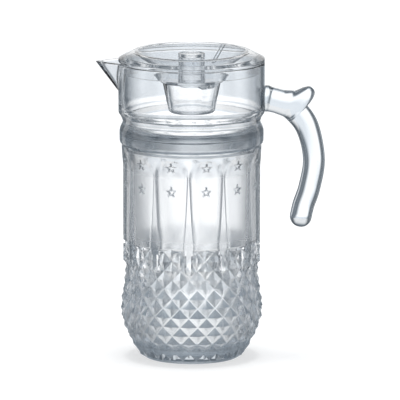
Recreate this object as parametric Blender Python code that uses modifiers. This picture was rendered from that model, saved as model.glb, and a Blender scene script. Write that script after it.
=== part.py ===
"""Clear acrylic jug with a lift-off lid, as its five separate mouldings.

Metres, +Z up. The origin is the middle of the flat base, the spout points along -X and the
handle along +X. Every length is a driving dimension below or worked out from them.
"""

import bisect
import math

import bmesh
import bpy
from mathutils import Matrix, Vector

MM = 0.001

# What touches keeps this much room
SEAT_GAP = 0.3 * MM

# Body radii, each set against the ribs of the fluted middle
BODY_RADIUS = 54.1 * MM
BELLY_BULGE = 2.3 * MM
WAIST_INSET = 1.2 * MM
BASE_CORNER_INSET = 12.6 * MM
FOOT_INSET = 17.5 * MM
SHOULDER_BULGE = 1.2 * MM
BEAD_BULGE = 2.8 * MM
GROOVE_BULGE = 0.4 * MM
NECK_BULGE = 3.7 * MM

# Body heights, stacked from the floor up
FOOT_HEIGHT = 3.0 * MM
DIAMOND_PITCH = 7.4 * MM
FLUTE_LENGTH = 67.0 * MM
SHOULDER_HEIGHT = 3.5 * MM
BEAD_HEIGHT = 17.3 * MM
GROOVE_HEIGHT = 3.0 * MM
NECK_LENGTH = 45.9 * MM
NECK_CHAMFER = 6.0 * MM

# Diamond cutting and flutes
SEGMENTS = 48
FLUTES = 12
DIAMOND_ROWS = 13
DIAMOND_RELIEF = 2.4 * MM
BELLY_HEIGHT = 38.0 * MM
WAIST_HEIGHT = 70.0 * MM
BOWL_POWER = 1.65
RIB_ROWS = 3
FLUTE_DEPTH = 2.6 * MM
FLUTE_ARCH = 16.2 * MM

# Inside of the body
BODY_WALL = 4.1 * MM
CORE_TAPER = 3.5 * MM
CORE_CORNER = 14.0 * MM
BASE_THICKNESS = 8.0 * MM
NECK_WALL = 3.2 * MM
LEDGE_BELOW_SPOUT = 9.9 * MM
LEDGE_HEIGHT = 8.0 * MM
RIM_ROUND = 0.8 * MM

# Spout
SPOUT_REACH = 18.0 * MM
SPOUT_DEPTH = 24.0 * MM
SPOUT_ANGLE = 40.0
SPOUT_STEPS = 3

# Handle
HANDLE_BELOW_RIM = 29.0 * MM
GRIP_REACH = 38.4 * MM
HANDLE_DROP = 102.5 * MM
ROOT_HEIGHT = 21.0 * MM
ROOT_FLARE = 5.0 * MM
ARM_HEIGHT = 19.4 * MM
GRIP_THICKNESS = 17.4 * MM
GRIP_DEPTH = 16.0 * MM
ROOT_DEPTH = 18.0 * MM
SLIM_FROM = 25.0 * MM
SLIM_OVER = 37.0 * MM
BUMP_HEIGHT = 12.6 * MM
BUMP_START = 9.0 * MM
BUMP_RISE = 14.5 * MM
BUMP_FALL = 5.5 * MM
GRIP_SIDES = 14
GRIP_STEPS = 60
END_STEPS = 4
SECTION_POWER = 2.4

# Centre line of the handle, as shares of its reach and of its drop
HANDLE_ROUTE = (
    (0.00, 0.000),
    (0.31, 0.029),
    (0.58, 0.082),
    (0.86, 0.222),
    (1.00, 0.466),
    (0.91, 0.688),
    (0.78, 0.838),
    (0.69, 1.000),
)

# Lid
LID_WALL = 2.2 * MM
EDGE_HEIGHT = 2.2 * MM
EDGE_ROUND = 0.6 * MM
DOME_RISE = 5.9 * MM
RING_INSET = 11.6 * MM
RING_WIDTH = 3.0 * MM
SKIRT_CLEARANCE = 1.2 * MM
SKIRT_DEPTH = 8.4 * MM
RECESS_DEPTH = 21.8 * MM
WELL_SLOPE = 76.0
WELL_ROUND = 12.5 * MM
BOSS_HEIGHT = 5.0 * MM
RIB_WIDTH = 2.0 * MM
RIB_HEIGHT = 2.0 * MM
RIB_MARGIN = 1.0 * MM
RIB_RAMP = 1.8 * MM
RIB_ANGLES = (90.0, 55.0)

# Knob
KNOB_RADIUS = 10.5 * MM
KNOB_WALL = 2.2 * MM
KNOB_HEIGHT = 19.9 * MM
KNOB_ROUND = 0.8 * MM
KNOB_DISH = 0.6 * MM

# Cup and its bayonet
CUP_TOP_RADIUS = 23.0 * MM
CUP_BOTTOM_RADIUS = 18.0 * MM
CUP_DEPTH = 24.0 * MM
CUP_WALL = 2.0 * MM
CUP_CORNER = 3.0 * MM
CUP_INNER_CORNER = 2.0 * MM
SPIGOT_LENGTH = 4.3 * MM
SPIGOT_WALL = 2.0 * MM
LUG_HEIGHT = 1.8 * MM
LUG_REACH = 7.0 * MM
LUG_CLEARANCE = 1.4 * MM
LUG_SPAN = 50.0
LUG_ANGLES = (-38.0, 142.0)
LUG_STEPS = 6

# Fineness of the round forms
TURNED_STEPS = 48
ROUND_STEPS = 5
ROUTE_STEPS = 240
FACET_ANGLE = 18.0
MERGE_DISTANCE = 0.01 * MM

# Levels and radii that follow
COLUMNS_PER_FLUTE = SEGMENTS // FLUTES
NECK_RADIUS = BODY_RADIUS + NECK_BULGE
NECK_BORE = NECK_RADIUS - NECK_WALL
CORE_RADIUS = BODY_RADIUS - BODY_WALL
BASE_CORNER_RADIUS = BODY_RADIUS - BASE_CORNER_INSET
DIAMOND_TOP = FOOT_HEIGHT + DIAMOND_ROWS * DIAMOND_PITCH
FLUTE_TOP = DIAMOND_TOP + FLUTE_LENGTH
BEAD_FOOT = FLUTE_TOP + SHOULDER_HEIGHT
GROOVE_FOOT = BEAD_FOOT + BEAD_HEIGHT
NECK_FOOT = GROOVE_FOOT + GROOVE_HEIGHT
RIM = NECK_FOOT + NECK_LENGTH
LEDGE_TOP = RIM - SPOUT_DEPTH - LEDGE_BELOW_SPOUT
SEAT = RIM + SEAT_GAP
EDGE_TOP = SEAT + EDGE_HEIGHT
RING_TOP = EDGE_TOP + DOME_RISE
RING_RADIUS = NECK_RADIUS - RING_INSET
SKIRT_RADIUS = NECK_BORE - SKIRT_CLEARANCE
RECESS_FLOOR = RING_TOP - RECESS_DEPTH
FLOOR_UNDERSIDE = RECESS_FLOOR - LID_WALL
WELL_RADIUS = CUP_TOP_RADIUS + SEAT_GAP
BOSS_RADIUS = KNOB_RADIUS - KNOB_WALL - SEAT_GAP
SPIGOT_FOOT = FLOOR_UNDERSIDE - SPIGOT_LENGTH
CUP_TOP = FLOOR_UNDERSIDE - SEAT_GAP
CUP_FOOT = CUP_TOP - CUP_DEPTH
CUP_TAPER = (CUP_TOP_RADIUS - CUP_BOTTOM_RADIUS) / CUP_DEPTH
CUP_BORE = CUP_TOP_RADIUS - CUP_WALL - CUP_TAPER * SPIGOT_LENGTH
LUG_TIP = CUP_BORE - LUG_CLEARANCE
SPIGOT_RADIUS = LUG_TIP - LUG_REACH
TAB_FOOT = SPIGOT_FOOT + LUG_HEIGHT + SEAT_GAP


def smooth_step(value, start, end):
    """0 before start, 1 after end, and an even rise between them."""
    share = min(max((value - start) / (end - start), 0.0), 1.0)
    return share * share * (3.0 - 2.0 * share)


def mix(first, second, share):
    return first + (second - first) * share


def new_collection(name):
    collection = bpy.data.collections.new(name)
    bpy.context.scene.collection.children.link(collection)
    return collection


def clear_acrylic(name):
    """Clear colourless acrylic, its own copy for each piece."""
    material = bpy.data.materials.new(name)
    material.use_nodes = True
    shader = material.node_tree.nodes["Principled BSDF"]
    shader.inputs["Base Color"].default_value = (0.88, 0.92, 0.95, 1.0)
    shader.inputs["Roughness"].default_value = 0.04
    shader.inputs["Metallic"].default_value = 0.0
    shader.inputs["IOR"].default_value = 1.49
    shader.inputs["Transmission Weight"].default_value = 0.95
    return material


def add_object(name, mesh, collection, origin):
    """An object with its own acrylic, placed so that its origin is the given point."""
    mesh.materials.append(clear_acrylic(name))
    piece = bpy.data.objects.new(name, mesh)
    piece.location = origin
    collection.objects.link(piece)
    return piece


def shade(mesh):
    """Round faces are smooth, and the facets keep their edges."""
    mesh.shade_smooth()
    mesh.set_sharp_from_angle(angle=math.radians(FACET_ANGLE))


def skin_pair(work, lower, upper, split):
    """Faces between two loops, or between a loop and a single point at either end."""
    count = max(len(lower), len(upper))
    for i in range(count):
        k = (i + 1) % count
        if len(lower) == 1:
            work.faces.new((lower[0], upper[k], upper[i]))
        elif len(upper) == 1:
            work.faces.new((lower[i], lower[k], upper[0]))
        elif split is None:
            work.faces.new((lower[i], lower[k], upper[k], upper[i]))
        elif split(i):
            work.faces.new((lower[i], lower[k], upper[k]))
            work.faces.new((lower[i], upper[k], upper[i]))
        else:
            work.faces.new((lower[i], lower[k], upper[i]))
            work.faces.new((lower[k], upper[k], upper[i]))


def loft(name, loops, origin=(0.0, 0.0, 0.0), splits=None):
    """A closed skin over loops of points. splits gives the diagonal rule after a loop's index."""
    work = bmesh.new()
    shift = Vector(origin)
    rows = [[work.verts.new(Vector(p) - shift) for p in loop] for loop in loops]
    for index in range(len(rows) - 1):
        rule = splits.get(index) if splits else None
        skin_pair(work, rows[index], rows[index + 1], rule)
    if len(rows[0]) > 1:
        work.faces.new(tuple(reversed(rows[0])))
    if len(rows[-1]) > 1:
        work.faces.new(tuple(rows[-1]))
    mesh = bpy.data.meshes.new(name)
    work.to_mesh(mesh)
    work.free()
    return mesh


def turned(name, profile, collection, origin):
    """A profile in the XZ plane, top of the axis to its bottom, turned round Z."""
    mesh = bpy.data.meshes.new(name)
    points = [(r - origin[0], 0.0, z - origin[2]) for r, z in profile]
    mesh.from_pydata(points, [(i, i + 1) for i in range(len(points) - 1)], [])
    piece = add_object(name, mesh, collection, origin)
    screw = piece.modifiers.new("Turn", "SCREW")
    screw.axis = "Z"
    screw.steps = TURNED_STEPS
    screw.render_steps = TURNED_STEPS
    screw.use_merge_vertices = True
    screw.merge_threshold = MERGE_DISTANCE
    screw.use_smooth_shade = True
    return piece


def unite(piece, tools):
    for tool in tools:
        cut = piece.modifiers.new("Join " + tool.name, "BOOLEAN")
        cut.operation = "UNION"
        cut.solver = "EXACT"
        cut.object = tool


def add_tool(name, mesh, collection):
    """A helper solid that is joined into a piece and isn't a piece itself."""
    tool = bpy.data.objects.new(name, mesh)
    tool.hide_render = True
    tool.display_type = "WIRE"
    collection.objects.link(tool)
    return tool


def quarter_turns(steps):
    """Angles from one step up to a quarter turn."""
    return [0.5 * math.pi * k / steps for k in range(1, steps + 1)]


def quarter(start, corner):
    """Points of a quarter ellipse from start to corner, leaving start along Z."""
    points = []
    for turn in quarter_turns(ROUND_STEPS):
        r = mix(corner[0], start[0], math.cos(turn))
        z = mix(start[1], corner[1], math.sin(turn))
        points.append((r, z))
    return points


# Jug body


def column_angle(column):
    """Column 0 is the rib under the handle."""
    return 2.0 * math.pi * column / SEGMENTS


def ring(radii, z):
    points = []
    for column, radius in enumerate(radii):
        angle = column_angle(column)
        points.append((radius * math.cos(angle), radius * math.sin(angle), z))
    return points


def round_ring(radius, z):
    return ring([radius] * SEGMENTS, z)


def spout_radius(column, circle, tip):
    """Radius of a circle drawn out to a V, whose tip is on the -X side."""
    off_spout = abs(math.pi - column_angle(column))
    half = math.radians(SPOUT_ANGLE)
    if half + off_spout >= 0.5 * math.pi:
        return circle
    return max(circle, tip * math.sin(half) / math.sin(half + off_spout))


def neck_ring(inset, z):
    """The neck's outline at a height, drawn out into the spout and set in from the outside."""
    share = min(max((z - RIM + SPOUT_DEPTH) / SPOUT_DEPTH, 0.0), 1.0)
    tip_inset = inset * mix(1.0, 1.0 / math.sin(math.radians(SPOUT_ANGLE)), share)
    tip = NECK_RADIUS + SPOUT_REACH * share - tip_inset
    return ring([spout_radius(i, NECK_RADIUS - inset, tip) for i in range(SEGMENTS)], z)


def envelope(z):
    """Radius over the tips of the diamonds."""
    belly = BODY_RADIUS + BELLY_BULGE
    waist = BODY_RADIUS - WAIST_INSET
    if z < BELLY_HEIGHT:
        share = (BELLY_HEIGHT - z) / (BELLY_HEIGHT - FOOT_HEIGHT)
        return mix(belly, BASE_CORNER_RADIUS, share**BOWL_POWER)
    if z < WAIST_HEIGHT:
        return mix(belly, waist, smooth_step(z, BELLY_HEIGHT, WAIST_HEIGHT))
    return mix(waist, BODY_RADIUS, smooth_step(z, WAIST_HEIGHT, DIAMOND_TOP))


def is_tip(column, row):
    return (column + row) % 2 == 1


def diamond_ring(row):
    """A row of diamond tips with the valleys between them. The ribs run down over the top rows."""
    z = DIAMOND_TOP - row * DIAMOND_PITCH
    tip = envelope(z)
    radii = []
    for column in range(SEGMENTS):
        on_rib = column % COLUMNS_PER_FLUTE == 0 and row <= RIB_ROWS
        raised = on_rib or is_tip(column, row)
        radii.append(tip if raised else tip - DIAMOND_RELIEF)
    return ring(radii, z)


def flute_depth(column, z):
    """Depth of the flute's hollow, which ends at the top in a rounded arch."""
    off = abs(column % COLUMNS_PER_FLUTE - COLUMNS_PER_FLUTE / 2) / (COLUMNS_PER_FLUTE / 2)
    hollow = FLUTE_DEPTH * (1.0 - off * off)
    climb = max(z - (FLUTE_TOP - FLUTE_ARCH), 0.0)
    arch = FLUTE_ARCH * math.sqrt(1.0 - off * off)
    if climb >= arch:
        return 0.0
    return hollow * math.sqrt(1.0 - (climb / arch) ** 2)


def flute_ring(z):
    swell = SHOULDER_BULGE * smooth_step(z, FLUTE_TOP - FLUTE_ARCH, BEAD_FOOT)
    radius = BODY_RADIUS + swell
    return ring([radius - flute_depth(i, z) for i in range(SEGMENTS)], z)


def bead_ring(across):
    """The bead's round section. across runs from -1 at its foot to 1 at the groove."""
    share = 0.5 + 0.5 * across
    flank = BODY_RADIUS + mix(SHOULDER_BULGE, GROOVE_BULGE, share)
    crown = BODY_RADIUS + BEAD_BULGE
    radius = mix(flank, crown, 1.0 - abs(across) ** 3)
    return round_ring(radius, mix(BEAD_FOOT, GROOVE_FOOT, share))


def bead_turns():
    """Angles over the bead's section, from its foot over the crown to the groove."""
    rise = quarter_turns(ROUND_STEPS - 2)
    return [-turn for turn in reversed(rise)] + [0.0] + rise


def spout_levels():
    """Heights from just under the rim down to the foot of the spout."""
    return [RIM - SPOUT_DEPTH * k / SPOUT_STEPS for k in range(1, SPOUT_STEPS + 1)]


def outer_rings():
    """The body's outside from the foot to the rim, and the diagonal rule of each diamond row."""
    rings = [
        [(0.0, 0.0, 0.0)],
        round_ring(BODY_RADIUS - FOOT_INSET, 0.0),
        round_ring(BASE_CORNER_RADIUS, FOOT_HEIGHT),
    ]
    splits = {}
    for row in range(DIAMOND_ROWS - 1, -1, -1):
        splits[len(rings) - 1] = lambda column, row=row: is_tip(column, row)
        rings.append(diamond_ring(row) if row else flute_ring(DIAMOND_TOP))
    arch_foot = FLUTE_TOP - FLUTE_ARCH
    rings.append(flute_ring(mix(DIAMOND_TOP, arch_foot, 0.5)))
    rings.append(flute_ring(arch_foot))
    rings += [flute_ring(arch_foot + FLUTE_ARCH * math.sin(a)) for a in quarter_turns(ROUND_STEPS)]
    rings += [bead_ring(math.sin(turn)) for turn in bead_turns()]
    rings.append(round_ring(BODY_RADIUS + GROOVE_BULGE, NECK_FOOT))
    rings.append(round_ring(NECK_RADIUS, NECK_FOOT + NECK_CHAMFER))
    rings += [neck_ring(0.0, z) for z in reversed(spout_levels())]
    rings.append(neck_ring(0.0, RIM - RIM_ROUND))
    rings.append(neck_ring(RIM_ROUND, RIM))
    return rings, splits


def inner_rings():
    """The body's inside from the rim down to the middle of its floor."""
    rings = [neck_ring(NECK_WALL - RIM_ROUND, RIM), neck_ring(NECK_WALL, RIM - RIM_ROUND)]
    rings += [neck_ring(NECK_WALL, z) for z in spout_levels()]
    rings.append(round_ring(NECK_BORE, LEDGE_TOP))
    for r, z in quarter((NECK_BORE, LEDGE_TOP), (CORE_RADIUS, LEDGE_TOP - LEDGE_HEIGHT)):
        rings.append(round_ring(r, z))
    floor_radius = CORE_RADIUS - CORE_TAPER
    corner_top = BASE_THICKNESS + CORE_CORNER
    rings.append(round_ring(floor_radius, corner_top))
    for r, z in quarter((floor_radius, corner_top), (floor_radius - CORE_CORNER, BASE_THICKNESS)):
        rings.append(round_ring(r, z))
    rings.append([(0.0, 0.0, BASE_THICKNESS)])
    return rings


def make_jug_body(parts):
    outside, splits = outer_rings()
    mesh = loft("jug_body", outside + inner_rings(), splits=splits)
    shade(mesh)
    return add_object("jug_body", mesh, parts, (0.0, 0.0, 0.0))


# Handle


def handle_root():
    """Middle of the face that is bonded to the neck."""
    return NECK_RADIUS + SEAT_GAP, 0.0, RIM - HANDLE_BELOW_RIM


def spline_point(points, share):
    """A smooth curve through the points, share from 0 to 1."""
    spans = len(points) - 1
    place = min(share * spans, spans - 1e-9)
    k = int(place)
    t = place - k
    before = points[k - 1] if k else points[0] * 2.0 - points[1]
    after = points[k + 2] if k + 2 < len(points) else points[-1] * 2.0 - points[-2]
    first, second = points[k], points[k + 1]
    bend = (before * 2.0 - first * 5.0 + second * 4.0 - after) * t
    curl = (first * 3.0 - before - second * 3.0 + after) * (t * t)
    return first + (second - before + bend + curl) * (0.5 * t)


def handle_route():
    """Points along the middle of the handle, from its root, and the length so far at each."""
    root = Vector(handle_root())
    corners = [Vector((u * GRIP_REACH, 0.0, -v * HANDLE_DROP)) + root for u, v in HANDLE_ROUTE]
    centres = [spline_point(corners, k / ROUTE_STEPS) for k in range(ROUTE_STEPS + 1)]
    lengths = [0.0]
    for first, second in zip(centres, centres[1:]):
        lengths.append(lengths[-1] + (second - first).length)
    return centres, lengths


def place_on_route(centres, lengths, length):
    """The middle of the handle and its outward direction at a length along it."""
    k = min(max(bisect.bisect_left(lengths, length), 1), ROUTE_STEPS)
    share = (length - lengths[k - 1]) / (lengths[k] - lengths[k - 1])
    along = centres[k] - centres[k - 1]
    outward = Vector((-along.z, 0.0, along.x)).normalized()
    return centres[k - 1].lerp(centres[k], share), outward


def grip_section(centre, outward, half_height, bump, half_depth):
    """A plump oval across the handle, drawn out on its outer side by the thumb bump."""
    middle = centre + outward * (0.5 * bump)
    reach = half_height + 0.5 * bump
    points = []
    for k in range(GRIP_SIDES):
        angle = 2.0 * math.pi * k / GRIP_SIDES
        c, s = math.cos(angle), math.sin(angle)
        up = math.copysign(abs(c) ** (2.0 / SECTION_POWER), c) * reach
        side = -math.copysign(abs(s) ** (2.0 / SECTION_POWER), s) * half_depth
        points.append(middle + outward * up + Vector((0.0, side, 0.0)))
    return points


def on_neck(point):
    """The point moved along X on to the face that is bonded to the neck."""
    radius = NECK_RADIUS + SEAT_GAP
    return Vector((math.sqrt(radius**2 - point.y**2), point.y, point.z))


def bump_height(length):
    """Height of the thumb bump, which swells along the arm to a rounded nose."""
    crest = BUMP_START + BUMP_RISE
    rise = max((length - BUMP_START) / BUMP_RISE, 0.0)
    return BUMP_HEIGHT * rise**2 * (1.0 - smooth_step(length, crest, crest + BUMP_FALL))


def handle_sizes(length):
    """Height and depth of the handle's section: wide at the root, slimmer along the grip."""
    flare = 1.0 - smooth_step(length, 0.0, ROOT_FLARE)
    slim = smooth_step(length, SLIM_FROM, SLIM_FROM + SLIM_OVER)
    height = mix(mix(ARM_HEIGHT, GRIP_THICKNESS, slim), ROOT_HEIGHT, flare)
    return height, mix(GRIP_DEPTH, ROOT_DEPTH, flare)


def make_handle(parts):
    centres, lengths = handle_route()
    end_round = 0.5 * GRIP_THICKNESS
    end_start = lengths[-1] - end_round
    stations = [(end_start * k / GRIP_STEPS, 1.0) for k in range(GRIP_STEPS + 1)]
    for turn in quarter_turns(END_STEPS)[:-1]:
        stations.append((end_start + end_round * math.sin(turn), math.cos(turn)))
    loops = []
    for length, close in stations:
        centre, outward = place_on_route(centres, lengths, length)
        height, depth = handle_sizes(length)
        half_height, half_depth = 0.5 * height * close, 0.5 * depth * close
        loops.append(grip_section(centre, outward, half_height, bump_height(length), half_depth))
    root = [on_neck(p) for p in loops[0]]
    middle = sum(root, Vector()) / len(root)
    halfway = [on_neck(middle.lerp(p, 0.5)) for p in root]
    loops = [[on_neck(middle)], halfway, root] + loops[1:] + [[centres[-1]]]
    mesh = loft("handle", loops, handle_root())
    shade(mesh)
    return add_object("handle", mesh, parts, handle_root())


# Lid, knob and cup


def sector_block(name, inner, outer, foot, top, middle_deg, span_deg, tools):
    """A block between two radii that spans an angle about the axis."""
    loops = []
    for k in range(LUG_STEPS + 1):
        angle = math.radians(middle_deg + span_deg * (k / LUG_STEPS - 0.5))
        c, s = math.cos(angle), math.sin(angle)
        corners = ((inner, foot), (inner, top), (outer, top), (outer, foot))
        loops.append([(r * c, r * s, z) for r, z in corners])
    return add_tool(name, loft(name, loops), tools)


def well_edge():
    """Points up the curved foot of the recess, to where it meets the recess's straight slope."""
    radius = WELL_ROUND + LID_WALL
    start = math.radians(90.0 + WELL_SLOPE)
    centre = (WELL_RADIUS - radius * math.cos(start), RECESS_FLOOR - radius * math.sin(start))
    slope_top = recess_top()
    across = slope_top[0] - centre[0]
    rise = slope_top[1] - centre[1]
    touch = math.atan2(rise, across) + math.acos(radius / math.hypot(across, rise))
    points = []
    for k in range(ROUND_STEPS + 1):
        turn = mix(start, touch, k / ROUND_STEPS)
        points.append((centre[0] + radius * math.cos(turn), centre[1] + radius * math.sin(turn)))
    return points


def recess_top():
    """Upper end of the recess's sloping wall, at the inside of the raised ring."""
    return RING_RADIUS - RING_WIDTH, RING_TOP


def set_in(points, wall):
    """A line moved to its right by the wall's thickness, mitred at its corners."""
    moved = []
    for k in range(1, len(points) - 1):
        here = Vector(points[k])
        before = (here - Vector(points[k - 1])).normalized()
        after = (Vector(points[k + 1]) - here).normalized()
        normal = Vector((before.y + after.y, -before.x - after.x)).normalized()
        miter = wall / normal.dot(Vector((after.y, -after.x)))
        moved.append(here + normal * miter)
    return moved


def crossing(points, radius):
    """Height at which a line passes a radius."""
    for first, second in zip(points, points[1:]):
        if first.x <= radius <= second.x:
            return mix(first.y, second.y, (radius - first.x) / (second.x - first.x))
    return points[-1].y


def lid_profile():
    """Half section of the lid, from the boss over the ring and the edge to the spigot."""
    boss_top = RECESS_FLOOR + BOSS_HEIGHT
    boss = [(0.0, boss_top), (BOSS_RADIUS, boss_top), (BOSS_RADIUS, RECESS_FLOOR)]
    floor_edge = (WELL_RADIUS - LID_WALL, RECESS_FLOOR)
    dome = [(RING_RADIUS, RING_TOP), (NECK_RADIUS, EDGE_TOP), (NECK_RADIUS, SEAT + EDGE_ROUND)]
    shell = [floor_edge] + well_edge() + [recess_top()] + dome
    skirt_inside = SKIRT_RADIUS - LID_WALL
    hollow = set_in(shell, LID_WALL)
    edge = [
        (NECK_RADIUS - EDGE_ROUND, SEAT),
        (SKIRT_RADIUS, SEAT),
        (SKIRT_RADIUS, SEAT - SKIRT_DEPTH),
        (skirt_inside, SEAT - SKIRT_DEPTH),
        (skirt_inside, crossing(hollow, skirt_inside)),
    ]
    underside = [(p.x, p.y) for p in reversed(hollow) if p.x < skirt_inside]
    spigot_bore = SPIGOT_RADIUS - SPIGOT_WALL
    spigot = [
        (SPIGOT_RADIUS, FLOOR_UNDERSIDE),
        (SPIGOT_RADIUS, SPIGOT_FOOT),
        (spigot_bore, SPIGOT_FOOT),
        (spigot_bore, FLOOR_UNDERSIDE),
        (0.0, FLOOR_UNDERSIDE),
    ]
    return boss + shell + edge + underside + spigot


def recess_rib(angle_deg, tools):
    """A low radial rib down the recess's sloping wall, ramped at both ends."""
    top = Vector((recess_top()[0], 0.0, recess_top()[1]))
    foot = Vector((well_edge()[-1][0], 0.0, well_edge()[-1][1]))
    length = (foot - top).length
    down = (foot - top) / length
    out = Vector((down.z, 0.0, -down.x))
    side = Vector((0.0, 0.5 * RIB_WIDTH, 0.0))
    sink = out * (-0.5 * LID_WALL)
    ramp = RIB_MARGIN + RIB_RAMP
    full = ((ramp, RIB_HEIGHT), (length - ramp, RIB_HEIGHT))
    ends = ((RIB_MARGIN, 0.0), *full, (length - RIB_MARGIN, 0.0))
    turn = Matrix.Rotation(math.radians(angle_deg), 3, "Z")
    loops = []
    for place, height in ends:
        base = top + down * place
        crest = base + out * height
        low = base + sink
        loops.append([turn @ p for p in (low - side, crest - side, crest + side, low + side)])
    name = "recess_rib_%d" % round(angle_deg)
    return add_tool(name, loft(name, loops), tools)


def make_lid(parts, tools, hub):
    lid = turned("lid_cover", lid_profile(), parts, (0.0, 0.0, SEAT))
    joined = [recess_rib(angle, tools) for angle in RIB_ANGLES]
    for k, angle in enumerate(LUG_ANGLES):
        inner = SPIGOT_RADIUS - 0.5 * SPIGOT_WALL
        top = SPIGOT_FOOT + LUG_HEIGHT
        name = "spigot_lug_%d" % (k + 1)
        foot = SPIGOT_FOOT + SEAT_GAP
        joined.append(sector_block(name, inner, LUG_TIP, foot, top, angle, LUG_SPAN, tools))
    unite(lid, joined)
    seat_on(lid, hub)
    return lid


def make_knob(parts, hub):
    """A sleeve closed at the top, pushed over the boss in the recess."""
    foot = RECESS_FLOOR + SEAT_GAP
    top = foot + KNOB_HEIGHT
    bore = KNOB_RADIUS - KNOB_WALL
    dish = top - KNOB_DISH
    ceiling = dish - KNOB_WALL
    profile = [
        (0.0, dish),
        (bore, dish),
        (bore + KNOB_DISH, top),
        (KNOB_RADIUS - KNOB_ROUND, top),
        (KNOB_RADIUS, top - KNOB_ROUND),
        (KNOB_RADIUS, foot),
        (bore, foot),
        (bore, ceiling),
        (0.0, ceiling),
    ]
    knob = turned("lid_knob", profile, parts, (0.0, 0.0, foot))
    seat_on(knob, hub)
    return knob


def cup_profile():
    """Half section of the cup, from the middle of its floor over the rim to its underside."""
    floor = CUP_FOOT + CUP_WALL
    outer_edge = CUP_BOTTOM_RADIUS + CUP_TAPER * CUP_CORNER
    inner_edge = CUP_BOTTOM_RADIUS + CUP_TAPER * (CUP_WALL + CUP_INNER_CORNER) - CUP_WALL
    inner_start = (inner_edge, floor + CUP_INNER_CORNER)
    outer_start = (outer_edge, CUP_FOOT + CUP_CORNER)
    inside = quarter(inner_start, (inner_edge - CUP_INNER_CORNER, floor))[::-1] + [inner_start]
    rim = [(CUP_TOP_RADIUS - CUP_WALL, CUP_TOP), (CUP_TOP_RADIUS, CUP_TOP)]
    outside = [outer_start] + quarter(outer_start, (outer_edge - CUP_CORNER, CUP_FOOT))
    return [(0.0, floor)] + inside + rim + outside + [(0.0, CUP_FOOT)]


def make_cup(parts, tools, hub):
    """The tapered cup, hung by two inner tabs on the spigot's lugs."""
    cup = turned("ice_cup", cup_profile(), parts, (0.0, 0.0, CUP_TOP))
    tabs = []
    for k, angle in enumerate(LUG_ANGLES):
        inner = SPIGOT_RADIUS + 2.0 * SEAT_GAP
        outer = CUP_TOP_RADIUS - CUP_TAPER * (CUP_TOP - TAB_FOOT) - 0.5 * CUP_WALL
        top = CUP_TOP - SEAT_GAP
        name = "cup_tab_%d" % (k + 1)
        tabs.append(sector_block(name, inner, outer, TAB_FOOT, top, angle, LUG_SPAN, tools))
    unite(cup, tabs)
    seat_on(cup, hub)
    return cup


def add_hub(name, z, parts, carrier=None):
    """An empty on the jug's axis that carries the pieces which move together."""
    hub = bpy.data.objects.new(name, None)
    hub.empty_display_size = KNOB_RADIUS
    hub.location = (0.0, 0.0, z)
    parts.objects.link(hub)
    if carrier:
        seat_on(hub, carrier)
    return hub


def seat_on(piece, carrier):
    """Parents a piece to an empty that lies on the axis, without moving it."""
    bpy.context.view_layer.update()
    world = piece.matrix_world.copy()
    piece.parent = carrier
    piece.matrix_parent_inverse.identity()
    piece.location = world.translation - carrier.matrix_world.translation


def main():
    for old in list(bpy.data.objects):
        bpy.data.objects.remove(old, do_unlink=True)
    parts = new_collection("acrylic_jug")
    tools = new_collection("join_tools")
    make_jug_body(parts)
    make_handle(parts)
    lid_hub = add_hub("lid_axis", SEAT, parts)
    make_lid(parts, tools, lid_hub)
    make_knob(parts, lid_hub)
    cup_hub = add_hub("cup_axis", CUP_TOP, parts, lid_hub)
    make_cup(parts, tools, cup_hub)


main()
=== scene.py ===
"""Looks of the clear acrylic jug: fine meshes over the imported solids, acrylic, studio and camera.

Metres, +Z up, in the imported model's own frame: the spout points along -X, the handle along +X.
"""

import bisect
import math

import bmesh
import bpy
import numpy as np
from mathutils import Matrix, Vector


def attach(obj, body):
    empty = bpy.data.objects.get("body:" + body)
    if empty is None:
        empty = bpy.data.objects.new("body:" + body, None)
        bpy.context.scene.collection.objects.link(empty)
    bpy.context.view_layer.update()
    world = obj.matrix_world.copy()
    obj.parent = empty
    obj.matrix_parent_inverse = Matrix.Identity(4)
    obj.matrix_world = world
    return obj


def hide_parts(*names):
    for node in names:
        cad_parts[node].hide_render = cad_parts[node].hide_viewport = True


MM = 0.001

# What touches keeps this much room
SEAT_GAP = 0.3 * MM

# Body radii and heights
BODY_RADIUS = 54.1 * MM
BELLY_RADIUS = BODY_RADIUS + 2.3 * MM
WAIST_RADIUS = BODY_RADIUS - 1.2 * MM
FOOT_RADIUS = BODY_RADIUS - 17.5 * MM
BASE_CORNER_RADIUS = BODY_RADIUS - 12.6 * MM
SHOULDER_RADIUS = BODY_RADIUS + 1.2 * MM
BEAD_RADIUS = BODY_RADIUS + 2.8 * MM
GROOVE_RADIUS = BODY_RADIUS + 0.4 * MM
NECK_RADIUS = BODY_RADIUS + 3.7 * MM
FOOT_HEIGHT = 3.0 * MM
BELLY_HEIGHT = 38.0 * MM
WAIST_HEIGHT = 70.0 * MM
BOWL_POWER = 1.65
FLUTE_LENGTH = 67.0 * MM
SHOULDER_HEIGHT = 3.5 * MM
BEAD_HEIGHT = 17.3 * MM
GROOVE_HEIGHT = 3.0 * MM
BEAD_SLOPE = 2.6 * MM
NOTCH = 1.1 * MM
INNER_RINGS = 2
RINGS_TOP = 184.5 * MM
RING_HEIGHT = 6.3 * MM
RING_DEPTH = 3.4 * MM
RING_RETURN = 0.6 * MM
RING_FALL = 5.0 * MM
NECK_LENGTH = 45.9 * MM
NECK_CHAMFER = 6.0 * MM

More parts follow.
